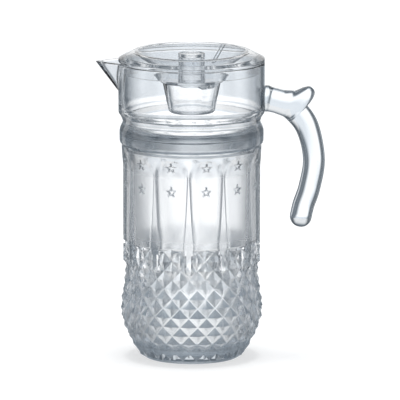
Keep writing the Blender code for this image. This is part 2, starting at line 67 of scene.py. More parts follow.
# Diamond cutting, flutes, ribs and stars
FLUTES = 12
DIAMONDS = 24
DIAMOND_ROWS = 13
DIAMOND_PITCH = 7.4 * MM
DIAMOND_RELIEF = 2.4 * MM
FOOT_RELIEF = 1.0 * MM
GROOVE_FLAT = 0.4 * MM
RIB_ROWS = 4
FLUTE_TOP_DEPTH = 1.2 * MM
FLUTE_FOOT_DEPTH = 0.9 * MM
FLUTE_ARCH = 16.2 * MM
FLUTE_FLATNESS = 12.0
ARCH_ROUNDNESS = 2.5
ARCH_FLATNESS = 2.0
RIB_FLARE = 0.7
RIB_SPREAD = 3.75
RIB_POINT = 0.3
STAR_REACH = 5.2 * MM
STAR_NOTCH = 1.9 * MM
STAR_DEPTH = 0.9 * MM
STAR_STEEPNESS = 2.5
STAR_HEIGHTS = (140.0 * MM, 159.0 * MM)

# Inside of the body
CORE_RADIUS = BODY_RADIUS - 4.1 * MM
FLOOR_RADIUS = CORE_RADIUS - 3.5 * MM
CORE_CORNER = 14.0 * MM
BASE_THICKNESS = 8.0 * MM
NECK_WALL = 3.2 * MM
LEDGE_BELOW_SPOUT = 9.9 * MM
LEDGE_HEIGHT = 8.0 * MM
RIM_ROUND = 0.8 * MM
SPOUT_REACH = 18.0 * MM
SPOUT_DEPTH = 24.0 * MM
SPOUT_ANGLE = 40.0
SPOUT_FILLET = 1.5 * MM
SPOUT_NOSE = 1.2
SPOUT_CROWD = 14.0

# Handle, with the thumb bump's swell and nose measured along it
HANDLE_BELOW_RIM = 29.0 * MM
GRIP_REACH = 38.4 * MM
HANDLE_DROP = 102.5 * MM
ROOT_HEIGHT = 21.0 * MM
ROOT_FLARE = 5.0 * MM
ARM_HEIGHT = 19.4 * MM
GRIP_THICKNESS = 17.4 * MM
GRIP_DEPTH = 16.0 * MM
ROOT_DEPTH = 18.0 * MM
SLIM_FROM = 25.0 * MM
SLIM_OVER = 37.0 * MM
SWELL_HEIGHT = 3.0 * MM
SWELL_START = 10.0 * MM
SWELL_END = 21.0 * MM
NOSE_HEIGHT = 9.7 * MM
NOSE_START = 18.0 * MM
NOSE_CREST = 23.3 * MM
NOSE_END = 29.1 * MM
NOSE_ROUNDNESS = 3.0
SECTION_POWER = 2.9
HANDLE_ROUTE = (
    (0.00, 0.000),
    (0.31, 0.029),
    (0.58, 0.082),
    (0.86, 0.222),
    (1.00, 0.466),
    (0.91, 0.688),
    (0.78, 0.838),
    (0.69, 1.000),
)

# Lid, knob and cup
LID_WALL = 2.2 * MM
EDGE_HEIGHT = 2.2 * MM
DOME_RISE = 5.9 * MM
RING_RADIUS = NECK_RADIUS - 11.6 * MM
RING_WIDTH = 3.0 * MM
SKIRT_CLEARANCE = 1.2 * MM
SKIRT_DEPTH = 8.4 * MM
RECESS_DEPTH = 21.8 * MM
WELL_SLOPE = 76.0
WELL_ROUND = 12.5 * MM
BOSS_HEIGHT = 5.0 * MM
RIB_WIDTH = 2.0 * MM
RIB_HEIGHT = 2.0 * MM
RIB_MARGIN = 1.0 * MM
RIB_RAMP = 1.8 * MM
RIB_ANGLES = (90.0, 55.0)
KNOB_RADIUS = 10.5 * MM
KNOB_WALL = 2.2 * MM
KNOB_HEIGHT = 19.9 * MM
KNOB_DISH = 0.6 * MM
CUP_TOP_RADIUS = 23.0 * MM
CUP_BOTTOM_RADIUS = 18.0 * MM
CUP_DEPTH = 24.0 * MM
CUP_WALL = 2.0 * MM
CUP_CORNER = 3.0 * MM
CUP_INNER_CORNER = 2.0 * MM
SPIGOT_LENGTH = 4.3 * MM
SPIGOT_WALL = 2.0 * MM
LUG_HEIGHT = 1.8 * MM
LUG_REACH = 7.0 * MM
LUG_CLEARANCE = 1.4 * MM
LUG_SPAN = 50.0
LUG_ANGLES = (-38.0, 142.0)
EDGE_SOFTNESS = 0.6 * MM

# Acrylic: tints, painted shade at a slant and on the bead, and how dull the body's inner side is at
# its levels
ACRYLIC_IOR = 1.49
ACRYLIC_TINT = (0.985, 0.99, 0.995)
# Painted shade at a slant: the dark colour the acrylic takes, and over which range of slant
SLANT_SHADE_TINT = (0.18, 0.21, 0.24)
SLANT_SHADE_RANGE = (0.12, 1.0)
ABSORB_TINT = (0.55, 0.62, 0.68, 1.0)
SHADOW_TINT = (0.62, 0.62, 0.62, 1.0)
BODY_ABSORB = 10.0
HANDLE_ABSORB = 28.0
LID_ABSORB = 12.0
# How much painted shade at a slant each material gets
BODY_SLANT_SHADE = 0.9
HANDLE_SLANT_SHADE = 2.2
LID_SLANT_SHADE = 0.2
POLISH_SCALE = 60.0
POLISH_DETAIL = 4.0
POLISH_ROUGHNESS = 0.02
RIPPLE_SCALE = 45.0
RIPPLE_DEPTH = 0.02 * MM
DULL_MARK = "dull_inside"
# Painted shade on the bead: a dark band, with darker lines at its notch and at its top edge
BEAD_SHADE_MARK = "bead"
BEAD_PAINTED_SHADE_TINT = (0.135, 0.18, 0.225)
BEAD_SHADE = 0.7
DIAMOND_DULL = 0.22
RIB_FOOT_DULL = 0.14
FLUTE_DULL = 0.28
SHOULDER_DULL = 0.1
BEAD_DULL = 0.25

# Studio: bright panels round the object, wide and slim by turns, tones by height and distance; as the
# acrylic sees it, the floor glows with these panels and a shadow at the foot painted on
PANELS = 4
SKY_PANEL = (-0.2, 0.9)
FLOOR_PAINTED_PANEL = (0.3, 0.9)
SLIM_PANEL = (-0.78, -0.94)
SLIM_LIGHT = 0.75
GAP_TONE = (0.14, 0.16, 0.18)
WHITE = (1.0, 1.0, 1.0)
SKY_TONES = (
    (0.00, WHITE),
    (0.30, WHITE),
    (0.60, (0.30, 0.34, 0.38)),
    (1.00, (0.55, 0.58, 0.62)),
)
# Painted shadow on the floor as the acrylic sees it: dark close to the foot, white further out, darker
# far off
FLOOR_TONES_WITH_PAINTED_SHADOW = (
    (0.05, (0.28, 0.32, 0.36)),
    (0.11, (0.82, 0.84, 0.86)),
    (0.16, WHITE),
    (0.50, WHITE),
    (0.75, (0.66, 0.69, 0.72)),
)
FLOOR_REACH = 1.6
FLOOR_EVEN = (0.07, 0.11)
FLOOR_LIGHT = 1.4
FLOOR_GLOW = 0.6
FLOOR_COLOR = (0.45, 0.45, 0.45, 1.0)
FLOOR_HALF = 12.0
FLOOR_DROP = 0.2 * MM
SUN_STRENGTH = 2.6
SUN_SPREAD = 18.0

# Camera
CAMERA_AZIMUTH = 2.4
CAMERA_ELEVATION = 10.3
CAMERA_DISTANCE = 6.0
FRAME_WIDTH = 316.0 * MM
AIM = (6.6 * MM, 0.0, 125.0 * MM)
SENSOR = 36.0
CLEAR_BOUNCES = 48
GLOSS_BOUNCES = 16

# Fineness of the meshes
COLUMNS_PER_FLUTE = 16
COLUMN_CROWD = 0.75
ROWS_PER_DIAMOND = 4
STAR_CUTS = 4
LATHE_STEPS = 144
ARC_STEPS = 10
CORE_STEPS = 40
BEAD_STEPS = 42
GRIP_SIDES = 40
GRIP_STEPS = 220
END_STEPS = 10
ROUTE_STEPS = 400
FLUTE_STEPS = 26
ARCH_RISE_STEPS = 12
SHOULDER_STEPS = 3
SPOUT_STEPS = 12
RIM_STEPS = 4
LEDGE_STEPS = 4
SHARP_ANGLE = 24.0
NEAR = 0.1 * MM

# Levels and radii that follow
COLUMNS = FLUTES * COLUMNS_PER_FLUTE
FLUTE_ANGLE = 360.0 / FLUTES
LATTICE = 2 * DIAMONDS
LATTICE_ANGLE = 360.0 / LATTICE
DIAMOND_TOP = FOOT_HEIGHT + DIAMOND_ROWS * DIAMOND_PITCH
RIB_FOOT = DIAMOND_TOP - RIB_ROWS * DIAMOND_PITCH
FLUTE_TOP = DIAMOND_TOP + FLUTE_LENGTH
ARCH_FOOT = FLUTE_TOP - FLUTE_ARCH
BEAD_FOOT = FLUTE_TOP + SHOULDER_HEIGHT
GROOVE_FOOT = BEAD_FOOT + BEAD_HEIGHT
NECK_FOOT = GROOVE_FOOT + GROOVE_HEIGHT
RIM = NECK_FOOT + NECK_LENGTH
NECK_BORE = NECK_RADIUS - NECK_WALL
LEDGE_TOP = RIM - SPOUT_DEPTH - LEDGE_BELOW_SPOUT
SEAT = RIM + SEAT_GAP
EDGE_TOP = SEAT + EDGE_HEIGHT
RING_TOP = EDGE_TOP + DOME_RISE
SKIRT_RADIUS = NECK_BORE - SKIRT_CLEARANCE
RECESS_FLOOR = RING_TOP - RECESS_DEPTH
FLOOR_UNDERSIDE = RECESS_FLOOR - LID_WALL
WELL_RADIUS = CUP_TOP_RADIUS + SEAT_GAP
BOSS_RADIUS = KNOB_RADIUS - KNOB_WALL - SEAT_GAP
SPIGOT_FOOT = FLOOR_UNDERSIDE - SPIGOT_LENGTH
CUP_TOP = FLOOR_UNDERSIDE - SEAT_GAP
CUP_FOOT = CUP_TOP - CUP_DEPTH
CUP_TAPER = (CUP_TOP_RADIUS - CUP_BOTTOM_RADIUS) / CUP_DEPTH
CUP_BORE = CUP_TOP_RADIUS - CUP_WALL - CUP_TAPER * SPIGOT_LENGTH
LUG_TIP = CUP_BORE - LUG_CLEARANCE
SPIGOT_RADIUS = LUG_TIP - LUG_REACH
TAB_FOOT = SPIGOT_FOOT + LUG_HEIGHT + SEAT_GAP
OUTSIDE_FROM = CORE_RADIUS + 0.5 * MM


# Shared helpers


def smooth_step(value, start, end):
    """0 before start, 1 after end, and an even rise between them."""
    share = np.clip((value - start) / (end - start), 0.0, 1.0)
    return share * share * (3.0 - 2.0 * share)


def mix(first, second, share):
    return first + (second - first) * share


def quarter(start, corner):
    """Points of a quarter ellipse from start to corner, leaving start along Z."""
    points = []
    for k in range(1, ARC_STEPS + 1):
        turn = 0.5 * math.pi * k / ARC_STEPS
        r = mix(corner[0], start[0], math.cos(turn))
        points.append((r, mix(start[1], corner[1], math.sin(turn))))
    return points


def finish_mesh(work, name, material):
    """Turns a bmesh into an object with outward faces, smooth apart from its sharp edges."""
    bmesh.ops.recalc_face_normals(work, faces=work.faces)
    mesh = bpy.data.meshes.new(name)
    work.to_mesh(mesh)
    work.free()
    mesh.shade_smooth()
    mesh.set_sharp_from_angle(angle=math.radians(SHARP_ANGLE))
    mesh.materials.append(material)
    piece = bpy.data.objects.new(name, mesh)
    bpy.context.scene.collection.objects.link(piece)
    return piece


def bridge(work, lower, upper):
    """Quads between two loops, or triangles between a loop and a single point."""
    count = max(len(lower), len(upper))
    for i in range(count):
        k = (i + 1) % count
        if len(lower) == 1:
            work.faces.new((lower[0], upper[k], upper[i]))
        elif len(upper) == 1:
            work.faces.new((lower[i], lower[k], upper[0]))
        else:
            work.faces.new((lower[i], lower[k], upper[k], upper[i]))


def loft(work, loops):
    """A closed skin over loops of points, each end a single point or a flat cap."""
    rows = [[work.verts.new(p) for p in loop] for loop in loops]
    for lower, upper in zip(rows, rows[1:]):
        bridge(work, lower, upper)
    if len(rows[0]) > 1:
        work.faces.new(tuple(reversed(rows[0])))
    if len(rows[-1]) > 1:
        work.faces.new(tuple(rows[-1]))


def soften(points, size):
    """The line with each of its corners replaced by a small round."""
    result = [points[0]]
    for before, here, after in zip(points, points[1:], points[2:]):
        a, b, c = Vector(before), Vector(here), Vector(after)
        turn = (b - a).angle(c - b, 0.0)
        if turn < math.radians(SHARP_ANGLE):
            result.append(here)
            continue
        reach = min(size, 0.4 * (b - a).length, 0.4 * (c - b).length)
        start = b + (a - b).normalized() * reach
        end = b + (c - b).normalized() * reach
        for share in (0.0, 0.25, 0.5, 0.75, 1.0):
            first = start.lerp(b, share)
            result.append(tuple(first.lerp(b.lerp(end, share), share)))
    result.append(points[-1])
    return result


def lathe(work, profile):
    """A half section, from the axis back to the axis, turned round Z."""
    loops = []
    for r, z in profile:
        if r < 1e-9:
            loops.append([(0.0, 0.0, z)])
            continue
        turns = [2.0 * math.pi * k / LATHE_STEPS for k in range(LATHE_STEPS)]
        loops.append([(r * math.cos(t), r * math.sin(t), z) for t in turns])
    loft(work, loops)


# Jug body


def envelope(z):
    """Radius over the tips of the diamonds."""
    if z < BELLY_HEIGHT:
        share = (BELLY_HEIGHT - z) / (BELLY_HEIGHT - FOOT_HEIGHT)
        return mix(BELLY_RADIUS, BASE_CORNER_RADIUS, share**BOWL_POWER)
    if z < WAIST_HEIGHT:
        return mix(BELLY_RADIUS, WAIST_RADIUS, smooth_step(z, BELLY_HEIGHT, WAIST_HEIGHT))
    return mix(WAIST_RADIUS, BODY_RADIUS, smooth_step(z, WAIST_HEIGHT, DIAMOND_TOP))


def is_tip(column, row):
    return (column + row) % 2 == 1


def rib_half_angle(z):
    """Half the rib's width in degrees: a long point at the top, wide at the diamonds."""
    share = np.clip((z - DIAMOND_TOP) / (ARCH_FOOT - DIAMOND_TOP), 0.0, 1.0)
    narrow = mix(RIB_SPREAD, RIB_POINT, share**RIB_FLARE)
    return mix(narrow, RIB_SPREAD, smooth_step(z, FLUTE_TOP, BEAD_FOOT))


def column_angles(z):
    """Angles in degrees of all the columns at a height. One column follows each edge of a rib."""
    half = rib_half_angle(z)
    across = [0.0, 0.5 * half]
    steps = COLUMNS_PER_FLUTE - 4
    crowd = COLUMN_CROWD * smooth_step(z, DIAMOND_TOP, DIAMOND_TOP + DIAMOND_PITCH)
    for k in range(steps + 1):
        share = k / steps - crowd * math.sin(2.0 * math.pi * k / steps) / (2.0 * math.pi)
        across.append(half + (FLUTE_ANGLE - 2.0 * half) * share)
    across.append(FLUTE_ANGLE - 0.5 * half)
    return np.array([flute * FLUTE_ANGLE + a for flute in range(FLUTES) for a in across])


def star_depth(across, z):
    """Depth of the two pressed stars at a distance across the flute and a height."""
    depth = 0.0
    fifth = math.radians(36.0)
    for middle in STAR_HEIGHTS:
        up = z - middle
        reach = np.hypot(across, up)
        turn = np.abs(np.mod(np.arctan2(across, up) + fifth, 2.0 * fifth) - fifth)
        edge = STAR_REACH * STAR_NOTCH * math.sin(fifth)
        edge = edge / (STAR_REACH * np.sin(turn) + STAR_NOTCH * np.sin(fifth - turn))
        depth = depth + STAR_DEPTH * np.clip(STAR_STEEPNESS * (1.0 - reach / edge), 0.0, 1.0)
    return depth


def fluted_radius(angle, z):
    """Radius over the flutes and ribs, angle in degrees from the rib under the handle."""
    from_middle = np.abs(np.mod(angle, FLUTE_ANGLE) - 0.5 * FLUTE_ANGLE)
    edge = 0.5 * FLUTE_ANGLE - rib_half_angle(z)
    off = np.clip(from_middle / edge, 0.0, 1.0)
    deep = mix(FLUTE_FOOT_DEPTH, FLUTE_TOP_DEPTH, smooth_step(z, DIAMOND_TOP, ARCH_FOOT))
    arch = FLUTE_ARCH * np.sqrt(1.0 - off**ARCH_ROUNDNESS)
    climb = np.clip((z - ARCH_FOOT) / np.maximum(arch, 0.01 * MM), 0.0, 1.0)
    hollow = deep * (1.0 - off**FLUTE_FLATNESS) * (1.0 - climb**ARCH_FLATNESS)
    across = BODY_RADIUS * np.radians(np.mod(angle, FLUTE_ANGLE) - 0.5 * FLUTE_ANGLE)
    swell = (SHOULDER_RADIUS - BODY_RADIUS) * smooth_step(z, ARCH_FOOT, BEAD_FOOT)
    return BODY_RADIUS + swell - hollow - star_depth(across, z)


def diamond_radius(angle, z):
    """Radius over the pyramids left between crossing grooves."""
    u = angle / LATTICE_ANGLE
    v = (DIAMOND_TOP - z) / DIAMOND_PITCH
    column, row = np.floor(u), np.floor(v)
    a, b = u - column, v - row
    tip_first = np.mod(column + row, 2.0) > 0.5
    from_lower = np.where(tip_first, 2.0 - a - b, 1.0 + a - b)
    from_upper = np.where(row < 0.5, 1.0, np.where(tip_first, a + b, 1.0 - a + b))
    from_tip = np.minimum(from_lower, from_upper)
    levels = np.array([envelope(DIAMOND_TOP - k * DIAMOND_PITCH) for k in range(DIAMOND_ROWS + 1)])
    tips = np.interp(v, np.arange(DIAMOND_ROWS + 1), levels)
    return tips - DIAMOND_RELIEF * from_tip


def carved_radius(angle, z):
    """Flutes and ribs where they stand out of the diamonds, and diamonds elsewhere."""
    from_middle = np.abs(np.mod(angle, FLUTE_ANGLE) - 0.5 * FLUTE_ANGLE)
    on_rib = from_middle > 0.5 * FLUTE_ANGLE - RIB_SPREAD + 0.01
    flute_foot = DIAMOND_TOP - 1.2 * DIAMOND_PITCH
    flute_end = 1.0 - smooth_step(z, flute_foot, DIAMOND_TOP - 0.6 * DIAMOND_PITCH)
    rib_end = 1.0 - smooth_step(z, RIB_FOOT + 0.4 * DIAMOND_PITCH, RIB_FOOT + DIAMOND_PITCH)
    sunk = 2.0 * DIAMOND_RELIEF * np.where(on_rib, rib_end, flute_end)
    flutes = fluted_radius(angle, z) - sunk
    return np.where(z > DIAMOND_TOP, flutes, np.maximum(flutes, diamond_radius(angle, z)))


def spout_radius(angles, inset, z):
    """The neck's outline at a height, drawn out to a V with a rounded nose on the -X side."""
    share = min(max((z - RIM + SPOUT_DEPTH) / SPOUT_DEPTH, 0.0), 1.0)
    circle = NECK_RADIUS - inset
    half = math.radians(SPOUT_ANGLE)
    tip = NECK_RADIUS + SPOUT_REACH * share - inset * mix(1.0, 1.0 / math.sin(half), share)
    off = np.abs(np.pi - np.radians(angles))
    nose = math.radians(SPOUT_NOSE)
    swing = np.hypot(off, nose) - nose
    side = tip * math.sin(half) / np.sin(np.minimum(half + swing, 0.5 * np.pi))
    fillet = SPOUT_FILLET * share * (1.0 - smooth_step(off, math.radians(20.0), math.radians(45.0)))
    return 0.5 * (circle + side + np.sqrt((circle - side) ** 2 + fillet**2))


def neck_angles():
    """Angles in degrees of the columns round the neck, closer together at the spout."""
    off = column_angles(0.0) - 180.0
    crowd = SPOUT_CROWD * np.tanh(off / SPOUT_CROWD) * (1.0 - np.abs(off) / 180.0)
    return 180.0 + off - 0.7 * crowd


def polar(angles, radii, z):
    turn = np.radians(angles)
    return [(r * math.cos(t), r * math.sin(t), z) for r, t in zip(radii, turn)]


def round_ring(radius, z):
    angles = column_angles(0.0)
    return polar(angles, np.full(COLUMNS, radius), z)


def neck_ring(inset, z):
    angles = neck_angles()
    return polar(angles, spout_radius(angles, inset, z), z)


def spread(start, end, count):
    """Levels after start, up to and with end."""
    return [mix(start, end, k / count) for k in range(1, count + 1)]


def lattice_ring(row):
    z = DIAMOND_TOP - row * DIAMOND_PITCH
    tip = envelope(z)
    angles = np.arange(LATTICE) * LATTICE_ANGLE
    relief = FOOT_RELIEF if row == DIAMOND_ROWS else DIAMOND_RELIEF
    radii = [tip if is_tip(k, row) else tip - relief for k in range(LATTICE)]
    return polar(angles, radii, z)


def diamond_skin(work, lower, upper, row):
    """Flat triangles between two lattice rows. The upper one may carry extra points on its edges."""
    extra = len(upper) // LATTICE
    for i in range(LATTICE):
        k = (i + 1) % LATTICE
        edge = [upper[(i * extra + j) % len(upper)] for j in range(extra + 1)]
        if is_tip(i, row):
            work.faces.new((lower[i], lower[k], edge[-1]))
            work.faces.new([lower[i]] + edge[::-1])
        else:
            work.faces.new((lower[i], lower[k], edge[0]))
            work.faces.new([lower[k]] + edge[::-1])


def fine_diamond_skin(work, lower, upper, row, angles):
    """Triangles of a part row, split along the grooves."""
    for i in range(COLUMNS):
        k = (i + 1) % COLUMNS
        cell = int((angles[i] + 0.01) // LATTICE_ANGLE)
        if is_tip(cell, row):
            work.faces.new((lower[i], lower[k], upper[k]))
            work.faces.new((lower[i], upper[k], upper[i]))
        else:
            work.faces.new((lower[i], lower[k], upper[i]))
            work.faces.new((lower[k], upper[k], upper[i]))


def chord_ring(row):
    """A lattice row with its straight edges divided for the finer rows above it."""
    corners = [Vector(p) for p in lattice_ring(row)]
    parts = COLUMNS // LATTICE
    points = []
    for i, corner in enumerate(corners):
        after = corners[(i + 1) % LATTICE]
        points += [corner.lerp(after, k / parts) for k in range(parts)]
    return points


def bead_outline():
    """Radius and height up the fine notch, the bead, the groove and the chamfer to the neck."""
    notch_top = BEAD_FOOT + 2.0 * NOTCH
    corners = [
        (BEAD_RADIUS - 0.3 * MM, notch_top + 0.6 * MM),
        (BEAD_RADIUS, notch_top + 2.5 * MM),
        (BEAD_RADIUS, GROOVE_FOOT - 6.0 * MM),
        (BEAD_RADIUS - 0.8 * MM, GROOVE_FOOT - BEAD_SLOPE),
        (GROOVE_RADIUS, GROOVE_FOOT + 0.5 * GROOVE_HEIGHT),
        (GROOVE_RADIUS + 1.2 * MM, NECK_FOOT + 2.5 * MM),
        (NECK_RADIUS - 0.3 * MM, NECK_FOOT + NECK_CHAMFER - 0.3 * MM),
        (NECK_RADIUS, NECK_FOOT + NECK_CHAMFER + 1.5 * MM),
    ]
    corners = [Vector(p) for p in corners]
    curve = [spline_point(corners, k / BEAD_STEPS) for k in range(BEAD_STEPS + 1)]
    return [(SHOULDER_RADIUS - NOTCH, BEAD_FOOT + NOTCH)] + [tuple(p) for p in curve]


def core_wall(top, foot):
    """The body's inner wall from the ledge to the floor's corner, with the rings behind the bead."""

    def wall_radius(z):
        return mix(FLOOR_RADIUS, CORE_RADIUS, (z - foot) / (top - foot))

    points = [(wall_radius(z), z) for z in spread(top, RINGS_TOP + RING_HEIGHT, LEDGE_STEPS)]
    for k in range(INNER_RINGS):
        ring_top = RINGS_TOP - k * RING_HEIGHT
        crest = ring_top - RING_HEIGHT
        points.append((wall_radius(ring_top), ring_top))
        points.append((wall_radius(crest) - RING_DEPTH, crest + RING_RETURN))
    end = RINGS_TOP - INNER_RINGS * RING_HEIGHT - RING_FALL
    points.append((wall_radius(end), end))
    points += [(wall_radius(z), z) for z in spread(end, foot, CORE_STEPS)]
    return soften(points, EDGE_SOFTNESS)


def rim_round(step):
    """Inset and height of a point on the rounded edge of the rim."""
    turn = 0.5 * math.pi * step / RIM_STEPS
    return RIM_ROUND * (1.0 - math.cos(turn)), RIM - RIM_ROUND * (1.0 - math.sin(turn))


def upper_rings():
    """The outside above the diamonds, from the flutes to the rim, then the inside to the floor."""
    rings = []
    levels = spread(DIAMOND_TOP, ARCH_FOOT, FLUTE_STEPS)
    levels += spread(ARCH_FOOT, FLUTE_TOP, ARCH_RISE_STEPS)
    levels += spread(FLUTE_TOP, BEAD_FOOT, SHOULDER_STEPS)
    for z in levels:
        angles = column_angles(z)
        rings.append(polar(angles, fluted_radius(angles, z), z))
    rings += [round_ring(r, z) for r, z in bead_outline()]
    spout_foot, round_foot = RIM - SPOUT_DEPTH, RIM - RIM_ROUND
    rings.append(neck_ring(0.0, spout_foot))
    rings += [neck_ring(0.0, z) for z in spread(spout_foot, round_foot, SPOUT_STEPS)]
    for step in range(1, RIM_STEPS + 1):
        inset, z = rim_round(step)
        rings.append(neck_ring(inset, z))
    for step in range(RIM_STEPS - 1, -1, -1):
        inset, z = rim_round(step)
        rings.append(neck_ring(NECK_WALL - inset, z))
    rings += [neck_ring(NECK_WALL, z) for z in spread(round_foot, spout_foot, SPOUT_STEPS)]
    rings.append(round_ring(NECK_BORE, LEDGE_TOP))
    ledge_foot = LEDGE_TOP - LEDGE_HEIGHT
    inside = quarter((NECK_BORE, LEDGE_TOP), (CORE_RADIUS, ledge_foot))
    corner_top = BASE_THICKNESS + CORE_CORNER
    inside += core_wall(ledge_foot, corner_top)
    inside += quarter((FLOOR_RADIUS, corner_top), (FLOOR_RADIUS - CORE_CORNER, BASE_THICKNESS))
    rings += [round_ring(r, z) for r, z in inside]
    rings.append([(0.0, 0.0, BASE_THICKNESS)])
    return rings


def refine(work):
    """Cuts the faces round the stars and at the top of the diamonds finer, on the true surface."""
    edges = set()
    for face in work.faces:
        middle = face.calc_center_median()
        if math.hypot(middle.x, middle.y) < OUTSIDE_FROM:
            continue
        angle = math.degrees(math.atan2(middle.y, middle.x)) % FLUTE_ANGLE - 0.5 * FLUTE_ANGLE
        near_star = any(abs(middle.z - z) < 1.25 * STAR_REACH for z in STAR_HEIGHTS)
        near_star = near_star and abs(math.radians(angle)) * BODY_RADIUS < 1.25 * STAR_REACH
        at_top = DIAMOND_TOP - 1.3 * DIAMOND_PITCH < middle.z < DIAMOND_TOP + 0.2 * DIAMOND_PITCH
        if near_star or at_top:
            edges.update(face.edges)
    bmesh.ops.subdivide_edges(work, edges=list(edges), cuts=STAR_CUTS, use_grid_fill=True)
    outside = []
    for vert in work.verts:
        out = math.hypot(vert.co.x, vert.co.y) > OUTSIDE_FROM
        if out and RIB_FOOT + NEAR < vert.co.z < FLUTE_TOP:
            outside.append(vert)
    places = np.array([vert.co for vert in outside])
    angles = np.degrees(np.arctan2(places[:, 1], places[:, 0])) % 360.0
    scales = carved_radius(angles, places[:, 2]) / np.hypot(places[:, 0], places[:, 1])
    for vert, scale in zip(outside, scales):
        vert.co.x *= scale
        vert.co.y *= scale


def flatten_grooves(work):
    """Cuts a narrow flat along each groove between the pyramids below the ribs."""
    bmesh.ops.recalc_face_normals(work, faces=work.faces)
    grooves = []
    for edge in work.edges:
        ends = [vert.co for vert in edge.verts]
        heights = [end.z for end in ends]
        if min(heights) < FOOT_HEIGHT + NEAR or max(heights) > RIB_FOOT - NEAR:
            continue
        bottoms = [envelope(end.z) - DIAMOND_RELIEF for end in ends]
        gaps = [abs(math.hypot(end.x, end.y) - bottom) for end, bottom in zip(ends, bottoms)]
        if max(gaps) < NEAR:
            grooves.append(edge)
    bmesh.ops.bevel(work, geom=grooves, offset=GROOVE_FLAT, segments=1, affect="EDGES")


def mark_sides(mesh):
    """Marks how dull the wall's inner side is, and the painted shade on the bead's outside: a dark
    band, darker in lines at its notch and top edge.
    """
    dull = mesh.attributes.new(DULL_MARK, "FLOAT", "POINT")
    bead = mesh.attributes.new(BEAD_SHADE_MARK, "FLOAT", "POINT")
    levels = (
        (WAIST_HEIGHT, DIAMOND_DULL),
        (RIB_FOOT + DIAMOND_PITCH, RIB_FOOT_DULL),
        (DIAMOND_TOP - DIAMOND_PITCH, RIB_FOOT_DULL),
        (DIAMOND_TOP, FLUTE_DULL),
        (ARCH_FOOT, FLUTE_DULL),
        (FLUTE_TOP, SHOULDER_DULL),
        (BEAD_FOOT, BEAD_DULL),
        (RINGS_TOP, BEAD_DULL),
        (GROOVE_FOOT, 0.0),
    )
    heights, values = zip(*levels)
    crest = GROOVE_FOOT - BEAD_SLOPE
    for vert, dullness, shade in zip(mesh.vertices, dull.data, bead.data):
        z = vert.co.z
        if vert.normal.x * vert.co.x + vert.normal.y * vert.co.y < 0.0:
            dullness.value = np.interp(z, heights, values)
        # Painted shade on the bead's outside: full at its edges, lighter across the middle of the band
        elif BEAD_FOOT + 0.5 * NOTCH < z < crest:
            edge = min(z - BEAD_FOOT - NOTCH, crest - z)
            shade.value = mix(1.0, BEAD_SHADE, smooth_step(edge, 0.5 * NOTCH, 1.5 * NOTCH))


def make_jug_body(material):
    work = bmesh.new()
    foot = [(0.0, 0.0), (FOOT_RADIUS, 0.0), (BASE_CORNER_RADIUS, FOOT_HEIGHT)]
    angles = np.arange(LATTICE) * LATTICE_ANGLE
    below = [work.verts.new((0.0, 0.0, 0.0))]
    foot_loops = [polar(angles, np.full(LATTICE, r), z) for r, z in soften(foot, 0.8 * MM)[1:-1]]
    for points in foot_loops + [lattice_ring(DIAMOND_ROWS)]:
        loop = [work.verts.new(p) for p in points]
        bridge(work, below, loop)
        below = loop
    for row in range(DIAMOND_ROWS - 1, RIB_ROWS - 1, -1):
        points = lattice_ring(row) if row > RIB_ROWS else chord_ring(row)
        loop = [work.verts.new(p) for p in points]
        diamond_skin(work, below, loop, row)
        below = loop
    angles = column_angles(DIAMOND_TOP)
    for step in range(RIB_ROWS * ROWS_PER_DIAMOND - 1, -1, -1):
        z = DIAMOND_TOP - step * DIAMOND_PITCH / ROWS_PER_DIAMOND
        radii = carved_radius(angles, np.full(COLUMNS, z))
        loop = [work.verts.new(p) for p in polar(angles, radii, z)]
        fine_diamond_skin(work, below, loop, step // ROWS_PER_DIAMOND, angles)
        below = loop
    for points in upper_rings():
        loop = [work.verts.new(p) for p in points]
        bridge(work, below, loop)
        below = loop
    refine(work)
    flatten_grooves(work)
    body = finish_mesh(work, "clear_body", material)
    mark_sides(body.data)
    return body


# Handle


def handle_root():
    """Middle of the face that is bonded to the neck."""
    return Vector((NECK_RADIUS + SEAT_GAP, 0.0, RIM - HANDLE_BELOW_RIM))


def spline_point(points, share):
    """A smooth curve through the points, share from 0 to 1."""
    spans = len(points) - 1
    place = min(share * spans, spans - 1e-9)
    k = int(place)
    t = place - k
    before = points[k - 1] if k else points[0] * 2.0 - points[1]
    after = points[k + 2] if k + 2 < len(points) else points[-1] * 2.0 - points[-2]
    first, second = points[k], points[k + 1]
    bend = (before * 2.0 - first * 5.0 + second * 4.0 - after) * t
    curl = (first * 3.0 - before - second * 3.0 + after) * (t * t)
    return first + (second - before + bend + curl) * (0.5 * t)


def handle_route():
    """Points along the middle of the handle, from its root, and the length so far at each."""
    root = handle_root()
    corners = [Vector((u * GRIP_REACH, 0.0, -v * HANDLE_DROP)) + root for u, v in HANDLE_ROUTE]
    centres = [spline_point(corners, k / ROUTE_STEPS) for k in range(ROUTE_STEPS + 1)]
    lengths = [0.0]
    for first, second in zip(centres, centres[1:]):
        lengths.append(lengths[-1] + (second - first).length)
    return centres, lengths


def place_on_route(centres, lengths, length):
    """The middle of the handle and its outward direction at a length along it."""
    k = min(max(bisect.bisect_left(lengths, length), 1), ROUTE_STEPS)
    share = (length - lengths[k - 1]) / (lengths[k] - lengths[k - 1])
    along = centres[min(k + 4, ROUTE_STEPS)] - centres[max(k - 5, 0)]
    outward = Vector((-along.z, 0.0, along.x)).normalized()
    return centres[k - 1].lerp(centres[k], share), outward


